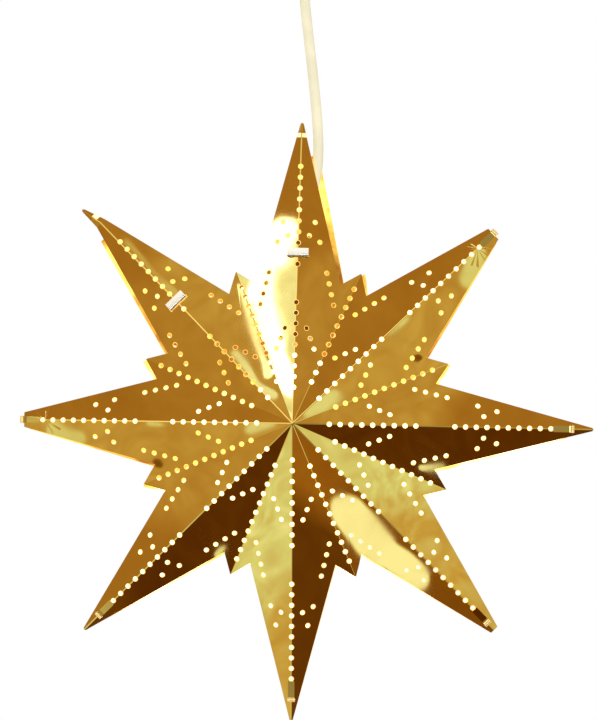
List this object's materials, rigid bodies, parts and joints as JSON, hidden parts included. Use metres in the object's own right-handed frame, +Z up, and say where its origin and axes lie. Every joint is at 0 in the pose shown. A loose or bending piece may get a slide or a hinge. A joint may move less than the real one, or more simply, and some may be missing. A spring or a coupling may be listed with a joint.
{
  "type": "led christmas star",
  "caption": "Folded and perforated metal star lamp in two shells, lit from inside by an LED bulb and hung by its cord from a small ceiling cup.",
  "frame": {"origin": "centre of the ceiling plate's upper face, where the lamp meets the ceiling", "axes": "+Z up, out of the ceiling plate's upper face; -Y towards the viewer, out of the star's front; +X to the star's right as seen from the front"},
  "size_m": [0.3376, 0.0934, 0.515],
  "materials": {
    "gold_sheet": "polished lacquered sheet",
    "plated_steel": "satin",
    "contact_brass": "bright",
    "white_enamel": "glossy moulded plastic",
    "ivory_pvc": "smooth, slightly glossy PVC",
    "black_phenolic": "moulded phenolic",
    "wire_insulation": "smooth",
    "opal_glass": "opal, lit warm white",
    "led_phosphor": "cast phosphor",
    "circuit_board": "solder mask"
  },
  "bodies": {
    "ceiling_fitting": {"ceiling_plate": "plated_steel", "ceiling_cup": "white_enamel", "cup_screw_1": "plated_steel", "cup_screw_2": "plated_steel"},
    "swivel": {"swivel_bush": "white_enamel", "swivel_nut": "plated_steel"},
    "star": {"cord_boot": "ivory_pvc", "upper_wire_1": "wire_insulation", "upper_wire_2": "wire_insulation", "connector_block": "ivory_pvc", "connector_screw_1": "plated_steel", "connector_screw_2": "plated_steel", "supply_cord": "ivory_pvc", "grip_nut": "black_phenolic", "front_shell": "gold_sheet", "back_shell": "gold_sheet", "hanger_strap": "plated_steel", "tie_strap": "plated_steel", "holder_cap": "black_phenolic", "holder_wire_1": "wire_insulation", "holder_wire_2": "wire_insulation", "holder_insert": "white_enamel", "holder_body": "black_phenolic", "thread_sleeve": "contact_brass", "centre_contact": "contact_brass"},
    "bulb_carrier": {"bulb_tip": "plated_steel"},
    "bulb": {"bulb_insulator": "black_phenolic", "bulb_base": "plated_steel", "led_driver": "circuit_board", "bulb_collar": "white_enamel", "led_board": "white_enamel", "led_chip_1": "led_phosphor", "led_chip_2": "led_phosphor", "led_chip_3": "led_phosphor", "led_chip_4": "led_phosphor", "led_chip_5": "led_phosphor", "led_chip_6": "led_phosphor", "bulb_globe": "opal_glass"}
  },
  "joints": [
    {"name": "star_turn", "type": "hinge", "parent": "ceiling_fitting", "child": "swivel", "pos_m": [0, 0, -0.048], "axis": [0, 0, 1], "range_deg": [-180, 180]},
    {"name": "star_swing", "type": "hinge", "parent": "swivel", "child": "star", "pos_m": [0, 0, -0.048], "axis": [1, 0, 0], "range_deg": [-15, 15]},
    {"name": "bulb_travel", "type": "slide", "parent": "star", "child": "bulb_carrier", "axis": [0, 0, -1], "range_m": [0, 0.0141]},
    {"name": "bulb_turn", "type": "hinge", "parent": "bulb_carrier", "child": "bulb", "pos_m": [0, 0, -0.2622], "axis": [0, 0, -1], "range_deg": [0, 1800]}
  ],
  "couplings": [
    {"joint": "bulb_turn", "follows": "bulb_travel", "rad_per_m": 2228.1}
  ]
}
